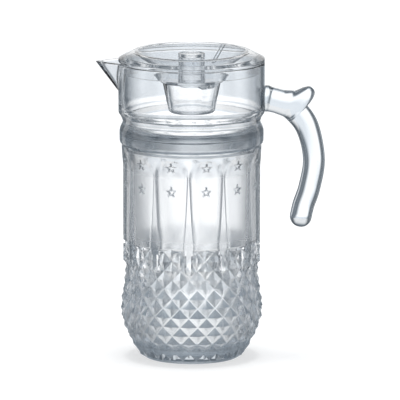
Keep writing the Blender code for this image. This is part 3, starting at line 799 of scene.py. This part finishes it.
def grip_section(centre, outward, half_height, bump, half_depth):
    """A plump oval across the handle, drawn out on its outer side by the thumb bump."""
    middle = centre + outward * (0.5 * bump)
    reach = half_height + 0.5 * bump
    points = []
    for k in range(GRIP_SIDES):
        angle = 2.0 * math.pi * k / GRIP_SIDES
        c, s = math.cos(angle), math.sin(angle)
        up = math.copysign(abs(c) ** (2.0 / SECTION_POWER), c) * reach
        side = -math.copysign(abs(s) ** (2.0 / SECTION_POWER), s) * half_depth
        points.append(middle + outward * up + Vector((0.0, side, 0.0)))
    return points


def on_neck(point):
    """The point moved along X on to the face that is bonded to the neck."""
    radius = NECK_RADIUS + SEAT_GAP
    return Vector((math.sqrt(radius**2 - point.y**2), point.y, point.z))


def bump_height(length):
    """Height of the thumb bump: a low swell along the arm, then a rounded nose."""
    swell = SWELL_HEIGHT * smooth_step(length, SWELL_START, SWELL_END)
    nose = NOSE_HEIGHT * smooth_step(length, NOSE_START, NOSE_CREST)
    past = min(max((length - NOSE_CREST) / (NOSE_END - NOSE_CREST), 0.0), 1.0)
    return (swell + nose) * math.sqrt(1.0 - past**NOSE_ROUNDNESS)


def handle_sizes(length):
    """Height and depth of the handle's section: wide at the root, slimmer along the grip."""
    flare = 1.0 - smooth_step(length, 0.0, ROOT_FLARE)
    slim = smooth_step(length, SLIM_FROM, SLIM_FROM + SLIM_OVER)
    height = mix(mix(ARM_HEIGHT, GRIP_THICKNESS, slim), ROOT_HEIGHT, flare)
    return height, mix(GRIP_DEPTH, ROOT_DEPTH, flare)


def make_handle(material):
    centres, lengths = handle_route()
    end_round = 0.5 * GRIP_THICKNESS
    end_start = lengths[-1] - end_round
    stations = [(end_start * k / GRIP_STEPS, 1.0) for k in range(GRIP_STEPS + 1)]
    for k in range(1, END_STEPS):
        turn = 0.5 * math.pi * k / END_STEPS
        stations.append((end_start + end_round * math.sin(turn), math.cos(turn)))
    loops = []
    for length, close in stations:
        centre, outward = place_on_route(centres, lengths, length)
        height, depth = handle_sizes(length)
        half_height = 0.5 * height * close
        half_depth = 0.5 * depth * close
        loops.append(grip_section(centre, outward, half_height, bump_height(length), half_depth))
    root = [on_neck(p) for p in loops[0]]
    middle = sum(root, Vector()) / len(root)
    inner = [[on_neck(middle.lerp(p, share)) for p in root] for share in (0.25, 0.5, 0.75, 1.0)]
    work = bmesh.new()
    loft(work, [[on_neck(middle)]] + inner + loops[1:] + [[centres[-1]]])
    return finish_mesh(work, "clear_handle", material)


# Lid, knob and cup


def recess_top():
    """Upper end of the recess's sloping wall, at the inside of the raised ring."""
    return RING_RADIUS - RING_WIDTH, RING_TOP


def well_edge():
    """Points up the curved foot of the recess, to where it meets the recess's straight slope."""
    radius = WELL_ROUND + LID_WALL
    start = math.radians(90.0 + WELL_SLOPE)
    centre = (WELL_RADIUS - radius * math.cos(start), RECESS_FLOOR - radius * math.sin(start))
    across = recess_top()[0] - centre[0]
    rise = recess_top()[1] - centre[1]
    touch = math.atan2(rise, across) + math.acos(radius / math.hypot(across, rise))
    points = []
    for k in range(ARC_STEPS + 1):
        turn = mix(start, touch, k / ARC_STEPS)
        points.append((centre[0] + radius * math.cos(turn), centre[1] + radius * math.sin(turn)))
    return points


def set_in(points, wall):
    """A line moved to its right by the wall's thickness, mitred at its corners."""
    moved = []
    for k in range(1, len(points) - 1):
        here = Vector(points[k])
        before = (here - Vector(points[k - 1])).normalized()
        after = (Vector(points[k + 1]) - here).normalized()
        normal = Vector((before.y + after.y, -before.x - after.x)).normalized()
        moved.append(here + normal * (wall / normal.dot(Vector((after.y, -after.x)))))
    return moved


def crossing(points, radius):
    """Height at which a line passes a radius."""
    for first, second in zip(points, points[1:]):
        if first.x <= radius <= second.x:
            return mix(first.y, second.y, (radius - first.x) / (second.x - first.x))
    return points[-1].y


def lid_profile():
    """Half section of the lid, from the boss over the ring and the edge to the spigot."""
    boss_top = RECESS_FLOOR + BOSS_HEIGHT
    boss = [(0.0, boss_top), (BOSS_RADIUS, boss_top), (BOSS_RADIUS, RECESS_FLOOR)]
    floor_edge = (WELL_RADIUS - LID_WALL, RECESS_FLOOR)
    dome = [(RING_RADIUS, RING_TOP), (NECK_RADIUS, EDGE_TOP), (NECK_RADIUS, SEAT)]
    shell = [floor_edge] + well_edge() + [recess_top()] + dome
    skirt_inside = SKIRT_RADIUS - LID_WALL
    hollow = set_in(shell, LID_WALL)
    edge = [
        (SKIRT_RADIUS, SEAT),
        (SKIRT_RADIUS, SEAT - SKIRT_DEPTH),
        (skirt_inside, SEAT - SKIRT_DEPTH),
        (skirt_inside, crossing(hollow, skirt_inside)),
    ]
    underside = [(p.x, p.y) for p in reversed(hollow) if p.x < skirt_inside]
    spigot_bore = SPIGOT_RADIUS - SPIGOT_WALL
    spigot = [
        (SPIGOT_RADIUS, FLOOR_UNDERSIDE),
        (SPIGOT_RADIUS, SPIGOT_FOOT),
        (spigot_bore, SPIGOT_FOOT),
        (spigot_bore, FLOOR_UNDERSIDE),
        (0.0, FLOOR_UNDERSIDE),
    ]
    return soften(boss + shell + edge + underside + spigot, EDGE_SOFTNESS)


def sector_block(name, inner, outer, foot, top, middle_deg):
    """A block between two radii that spans a lug's angle about the axis."""
    work = bmesh.new()
    loops = []
    for k in range(ARC_STEPS + 1):
        angle = math.radians(middle_deg + LUG_SPAN * (k / ARC_STEPS - 0.5))
        c, s = math.cos(angle), math.sin(angle)
        corners = ((inner, foot), (inner, top), (outer, top), (outer, foot))
        loops.append([(r * c, r * s, z) for r, z in corners])
    loft(work, loops)
    return plain_tool(work, name)


def recess_rib(angle_deg):
    """A low radial rib down the recess's sloping wall, ramped at both ends."""
    top = Vector((recess_top()[0], 0.0, recess_top()[1]))
    foot = Vector((well_edge()[-1][0], 0.0, well_edge()[-1][1]))
    length = (foot - top).length
    down = (foot - top) / length
    out = Vector((down.z, 0.0, -down.x))
    side = Vector((0.0, 0.5 * RIB_WIDTH, 0.0))
    sink = out * (-0.5 * LID_WALL)
    ramp = RIB_MARGIN + RIB_RAMP
    ends = (
        (RIB_MARGIN, 0.0),
        (ramp, RIB_HEIGHT),
        (length - ramp, RIB_HEIGHT),
        (length - RIB_MARGIN, 0.0),
    )
    turn = Matrix.Rotation(math.radians(angle_deg), 3, "Z")
    loops = []
    for place, height in ends:
        base = top + down * place
        crest = base + out * height
        low = base + sink
        loops.append([turn @ p for p in (low - side, crest - side, crest + side, low + side)])
    work = bmesh.new()
    loft(work, loops)
    return plain_tool(work, "recess_rib_%d" % round(angle_deg))


def plain_tool(work, name):
    """A helper solid that is joined into a piece and then removed."""
    bmesh.ops.recalc_face_normals(work, faces=work.faces)
    mesh = bpy.data.meshes.new(name)
    work.to_mesh(mesh)
    work.free()
    tool = bpy.data.objects.new(name, mesh)
    bpy.context.scene.collection.objects.link(tool)
    return tool


def join_tools(piece, tools):
    """Unites the tools with the piece, and keeps only the joined mesh."""
    for tool in tools:
        union = piece.modifiers.new(tool.name, "BOOLEAN")
        union.operation = "UNION"
        union.solver = "EXACT"
        union.object = tool
    bpy.context.view_layer.update()
    evaluated = piece.evaluated_get(bpy.context.evaluated_depsgraph_get())
    joined = bpy.data.meshes.new_from_object(evaluated)
    piece.modifiers.clear()
    piece.data = joined
    for tool in tools:
        bpy.data.objects.remove(tool, do_unlink=True)
    joined.shade_smooth()
    joined.set_sharp_from_angle(angle=math.radians(SHARP_ANGLE))


def make_lid(material):
    work = bmesh.new()
    lathe(work, lid_profile())
    lid = finish_mesh(work, "clear_lid", material)
    tools = [recess_rib(angle) for angle in RIB_ANGLES]
    inner = SPIGOT_RADIUS - 0.5 * SPIGOT_WALL
    foot, top = SPIGOT_FOOT + SEAT_GAP, SPIGOT_FOOT + LUG_HEIGHT
    for k, angle in enumerate(LUG_ANGLES):
        tools.append(sector_block("spigot_lug_%d" % (k + 1), inner, LUG_TIP, foot, top, angle))
    join_tools(lid, tools)
    return lid


def make_knob(material):
    """A sleeve closed at the top, pushed over the boss in the recess."""
    foot = RECESS_FLOOR + SEAT_GAP
    top = foot + KNOB_HEIGHT
    bore = KNOB_RADIUS - KNOB_WALL
    dish = top - KNOB_DISH
    profile = [
        (0.0, dish),
        (bore, dish),
        (bore + KNOB_DISH, top),
        (KNOB_RADIUS, top),
        (KNOB_RADIUS, foot),
        (bore, foot),
        (bore, dish - KNOB_WALL),
        (0.0, dish - KNOB_WALL),
    ]
    work = bmesh.new()
    lathe(work, soften(profile, 2.0 * EDGE_SOFTNESS))
    return finish_mesh(work, "clear_knob", material)


def make_cup(material):
    """The tapered cup, hung by two inner tabs on the spigot's lugs."""
    floor = CUP_FOOT + CUP_WALL
    outer_edge = CUP_BOTTOM_RADIUS + CUP_TAPER * CUP_CORNER
    inner_edge = CUP_BOTTOM_RADIUS + CUP_TAPER * (CUP_WALL + CUP_INNER_CORNER) - CUP_WALL
    inner_start = (inner_edge, floor + CUP_INNER_CORNER)
    outer_start = (outer_edge, CUP_FOOT + CUP_CORNER)
    inside = quarter(inner_start, (inner_edge - CUP_INNER_CORNER, floor))[::-1] + [inner_start]
    rim = [(CUP_TOP_RADIUS - CUP_WALL, CUP_TOP), (CUP_TOP_RADIUS, CUP_TOP)]
    outside = [outer_start] + quarter(outer_start, (outer_edge - CUP_CORNER, CUP_FOOT))
    work = bmesh.new()
    lathe(work, soften([(0.0, floor)] + inside + rim + outside + [(0.0, CUP_FOOT)], EDGE_SOFTNESS))
    cup = finish_mesh(work, "clear_cup", material)
    tabs = []
    inner = SPIGOT_RADIUS + 2.0 * SEAT_GAP
    outer = CUP_TOP_RADIUS - CUP_TAPER * (CUP_TOP - TAB_FOOT) - 0.5 * CUP_WALL
    top = CUP_TOP - SEAT_GAP
    for k, angle in enumerate(LUG_ANGLES):
        tabs.append(sector_block("cup_tab_%d" % (k + 1), inner, outer, TAB_FOOT, top, angle))
    join_tools(cup, tabs)
    return cup


# Shader nodes


def add_node(tree, kind, **values):
    """A new node with some of its inputs set by name."""
    node = tree.nodes.new("ShaderNode" + kind)
    for name, value in values.items():
        node.inputs[name.replace("_", " ")].default_value = value
    return node


def add_math(tree, operation, first, second):
    """A math node on a socket and a second socket or number."""
    node = add_node(tree, "Math")
    node.operation = operation
    tree.links.new(first, node.inputs[0])
    if isinstance(second, float):
        node.inputs[1].default_value = second
    else:
        tree.links.new(second, node.inputs[1])
    return node.outputs["Value"]


def add_ramp(tree, value, tones):
    """A colour ramp through pairs of position and colour."""
    node = add_node(tree, "ValToRGB")
    tree.links.new(value, node.inputs["Fac"])
    elements = node.color_ramp.elements
    while len(elements) < len(tones):
        elements.new(1.0)
    for element, (position, color) in zip(elements, tones):
        element.position = position
        element.color = color + (1.0,)
    return node.outputs["Color"]


def mix_colors(tree, share, first, second):
    """A colour mixed from two sockets or plain colours by a socket."""
    node = add_node(tree, "Mix")
    node.data_type = "RGBA"
    tree.links.new(share, node.inputs["Factor"])
    for socket, value in ((node.inputs["A"], first), (node.inputs["B"], second)):
        if isinstance(value, tuple):
            socket.default_value = value + (1.0,)
        else:
            tree.links.new(value, socket)
    return node.outputs["Result"]


def add_mark(tree, name):
    """The value that a mesh carries under a name."""
    node = add_node(tree, "Attribute")
    node.attribute_name = name
    return node.outputs["Fac"]


# Acrylic


def acrylic(name, absorb, edge, marked=False):
    """Clear acrylic, tinted in its depth, with painted shade at a slant for its dark edges, polish
    marks and moulding ripples.

    On a marked mesh the inner side is duller, and the bead carries painted shade.
    """
    material = bpy.data.materials.new(name)
    material.use_nodes = True
    tree = material.node_tree
    link = tree.links.new
    shader = tree.nodes["Principled BSDF"]
    shader.inputs["IOR"].default_value = ACRYLIC_IOR
    shader.inputs["Transmission Weight"].default_value = 1.0
    # Painted shade: at a slant the base colour darkens, which paints the glass's dark edges; in part
    # it stands for the longer way through the wall. The edge argument sets how much of it
    slant = add_node(tree, "MapRange", From_Min=SLANT_SHADE_RANGE[0], From_Max=SLANT_SHADE_RANGE[1], To_Max=edge)
    link(add_node(tree, "LayerWeight").outputs["Facing"], slant.inputs["Value"])
    tint_and_shade = mix_colors(tree, slant.outputs["Result"], ACRYLIC_TINT, SLANT_SHADE_TINT)
    place = add_node(tree, "TexCoord")
    polish = add_node(tree, "TexNoise", Scale=POLISH_SCALE, Detail=POLISH_DETAIL)
    link(place.outputs["Object"], polish.inputs["Vector"])
    roughness = add_math(tree, "MULTIPLY", polish.outputs["Fac"], POLISH_ROUGHNESS)
    if marked:
        # Painted shade on the bead, by the mark that the body mesh carries
        tint_and_shade = mix_colors(tree, add_mark(tree, BEAD_SHADE_MARK), tint_and_shade, BEAD_PAINTED_SHADE_TINT)
        roughness = add_math(tree, "ADD", roughness, add_mark(tree, DULL_MARK))
    link(tint_and_shade, shader.inputs["Base Color"])
    link(roughness, shader.inputs["Roughness"])
    waves = add_node(tree, "TexNoise", Scale=RIPPLE_SCALE)
    link(place.outputs["Object"], waves.inputs["Vector"])
    bump = add_node(tree, "Bump", Strength=1.0, Distance=RIPPLE_DEPTH)
    link(waves.outputs["Fac"], bump.inputs["Height"])
    link(bump.outputs["Normal"], shader.inputs["Normal"])
    clear = add_node(tree, "BsdfTransparent", Color=SHADOW_TINT)
    pick = add_node(tree, "MixShader")
    link(add_node(tree, "LightPath").outputs["Is Shadow Ray"], pick.inputs["Fac"])
    link(shader.outputs["BSDF"], pick.inputs[1])
    link(clear.outputs["BSDF"], pick.inputs[2])
    depth = add_node(tree, "VolumeAbsorption", Color=ABSORB_TINT, Density=absorb)
    out = tree.nodes["Material Output"]
    link(pick.outputs["Shader"], out.inputs["Surface"])
    link(depth.outputs["Volume"], out.inputs["Volume"])
    return material


# Studio


def add_panels(tree, split, limits):
    """Light of the panels that stand round the Z axis, wide and slim by turns, and 0 in the gaps."""
    turn = add_math(tree, "ARCTAN2", split.outputs["Y"], split.outputs["X"])
    turns = add_math(tree, "MULTIPLY", turn, float(PANELS))
    wave = add_node(tree, "Math")
    wave.operation = "COSINE"
    tree.links.new(turns, wave.inputs[0])
    panels = []
    for (start, full), light in ((limits, 1.0), (SLIM_PANEL, SLIM_LIGHT)):
        panel = add_node(tree, "MapRange", From_Min=start, From_Max=full, To_Max=light)
        panel.interpolation_type = "SMOOTHSTEP"
        tree.links.new(wave.outputs["Value"], panel.inputs["Value"])
        panels.append(panel.outputs["Result"])
    return add_math(tree, "MAXIMUM", panels[0], panels[1])


def studio_world():
    """White to look at; round the glass, bright panels with darker gaps between them."""
    world = bpy.data.worlds.new("studio")
    bpy.context.scene.world = world
    world.use_nodes = True
    tree = world.node_tree
    place = add_node(tree, "TexCoord")
    split = add_node(tree, "SeparateXYZ")
    tree.links.new(place.outputs["Generated"], split.inputs["Vector"])
    sky = add_ramp(tree, split.outputs["Z"], SKY_TONES)
    studio = mix_colors(tree, add_panels(tree, split, SKY_PANEL), GAP_TONE, sky)
    path = add_node(tree, "LightPath")
    seen = mix_colors(tree, path.outputs["Is Camera Ray"], studio, WHITE)
    tree.links.new(seen, tree.nodes["Background"].inputs["Color"])


def studio_floor():
    """A pale floor: white with a soft shadow; for the acrylic it glows with painted panels and gaps, a
    painted shadow near the foot, and darker far off.
    """
    mesh = bpy.data.meshes.new("floor")
    signs = ((-1.0, -1.0), (1.0, -1.0), (1.0, 1.0), (-1.0, 1.0))
    corners = [(FLOOR_HALF * x, FLOOR_HALF * y, 0.0) for x, y in signs]
    mesh.from_pydata(corners, [], [(0, 1, 2, 3)])
    floor = bpy.data.objects.new("floor", mesh)
    floor.location.z = -FLOOR_DROP
    bpy.context.scene.collection.objects.link(floor)
    material = bpy.data.materials.new("pale_floor")
    material.use_nodes = True
    tree = material.node_tree
    tree.nodes.remove(tree.nodes["Principled BSDF"])
    place = add_node(tree, "TexCoord")
    length = add_node(tree, "VectorMath")
    length.operation = "LENGTH"
    tree.links.new(place.outputs["Object"], length.inputs[0])
    share = add_math(tree, "DIVIDE", length.outputs["Value"], FLOOR_REACH)
    split = add_node(tree, "SeparateXYZ")
    tree.links.new(place.outputs["Object"], split.inputs["Vector"])
    # Painted light and shade on the floor as the acrylic sees it: panels and gaps, even near the foot,
    # tones by distance
    near = add_node(tree, "MapRange", From_Min=FLOOR_EVEN[1], From_Max=FLOOR_EVEN[0])
    tree.links.new(share, near.inputs["Value"])
    lit = add_math(tree, "MAXIMUM", add_panels(tree, split, FLOOR_PAINTED_PANEL), near.outputs["Result"])
    shaded = add_node(tree, "Emission", Strength=FLOOR_LIGHT)
    tone = mix_colors(tree, lit, GAP_TONE, add_ramp(tree, share, FLOOR_TONES_WITH_PAINTED_SHADOW))
    tree.links.new(tone, shaded.inputs["Color"])
    diffuse = add_node(tree, "BsdfDiffuse", Color=FLOOR_COLOR)
    glow = add_node(tree, "Emission", Strength=FLOOR_GLOW)
    white = add_node(tree, "AddShader")
    tree.links.new(diffuse.outputs["BSDF"], white.inputs[0])
    tree.links.new(glow.outputs["Emission"], white.inputs[1])
    path = add_node(tree, "LightPath")
    seen = add_node(tree, "MixShader")
    tree.links.new(path.outputs["Is Camera Ray"], seen.inputs["Fac"])
    tree.links.new(shaded.outputs["Emission"], seen.inputs[1])
    tree.links.new(white.outputs["Shader"], seen.inputs[2])
    tree.links.new(seen.outputs["Shader"], tree.nodes["Material Output"].inputs["Surface"])
    mesh.materials.append(material)


def overhead_sun():
    """Soft light from above, which makes the shadow at the foot."""
    lamp = bpy.data.lights.new("overhead", "SUN")
    lamp.energy = SUN_STRENGTH
    lamp.angle = math.radians(SUN_SPREAD)
    sun = bpy.data.objects.new("overhead", lamp)
    sun.visible_glossy = False
    sun.visible_transmission = False
    bpy.context.scene.collection.objects.link(sun)


# Camera


def place_camera():
    camera = bpy.data.objects.new("camera", bpy.data.cameras.new("camera"))
    bpy.context.scene.collection.objects.link(camera)
    turn, rise = math.radians(CAMERA_AZIMUTH), math.radians(CAMERA_ELEVATION)
    away = Vector((math.sin(turn) * math.cos(rise), -math.cos(turn) * math.cos(rise), math.sin(rise)))
    camera.location = Vector(AIM) + away * CAMERA_DISTANCE
    camera.rotation_euler = (-away).to_track_quat("-Z", "Y").to_euler()
    camera.data.sensor_width = SENSOR
    camera.data.lens = SENSOR * CAMERA_DISTANCE / FRAME_WIDTH
    camera.data.clip_end = 100.0
    bpy.context.scene.camera = camera


# The scene


def place_piece(piece, body, node):
    """Rides a piece on its body, in place of a solid."""
    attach(piece, body)
    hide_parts(node)


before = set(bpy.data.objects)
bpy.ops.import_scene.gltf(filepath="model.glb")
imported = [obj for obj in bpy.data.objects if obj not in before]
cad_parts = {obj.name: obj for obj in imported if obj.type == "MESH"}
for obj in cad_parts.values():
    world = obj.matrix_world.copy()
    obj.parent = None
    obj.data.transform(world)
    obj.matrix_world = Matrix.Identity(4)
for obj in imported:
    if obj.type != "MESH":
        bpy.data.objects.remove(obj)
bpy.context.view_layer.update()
scene = bpy.context.scene
scene.view_settings.view_transform = "Standard"
scene.cycles.max_bounces = CLEAR_BOUNCES
scene.cycles.transmission_bounces = CLEAR_BOUNCES
scene.cycles.glossy_bounces = GLOSS_BOUNCES

body_acrylic = acrylic("body_acrylic", BODY_ABSORB, BODY_SLANT_SHADE, marked=True)
handle_acrylic = acrylic("handle_acrylic", HANDLE_ABSORB, HANDLE_SLANT_SHADE)
lid_acrylic = acrylic("lid_acrylic", LID_ABSORB, LID_SLANT_SHADE)
place_piece(make_jug_body(body_acrylic), "jug", "jug_body")
place_piece(make_handle(handle_acrylic), "jug", "handle")
place_piece(make_lid(lid_acrylic), "lid", "lid_cover")
place_piece(make_knob(lid_acrylic), "lid", "lid_knob")
place_piece(make_cup(lid_acrylic), "cup", "ice_cup")

studio_world()
studio_floor()
overhead_sun()
place_camera()
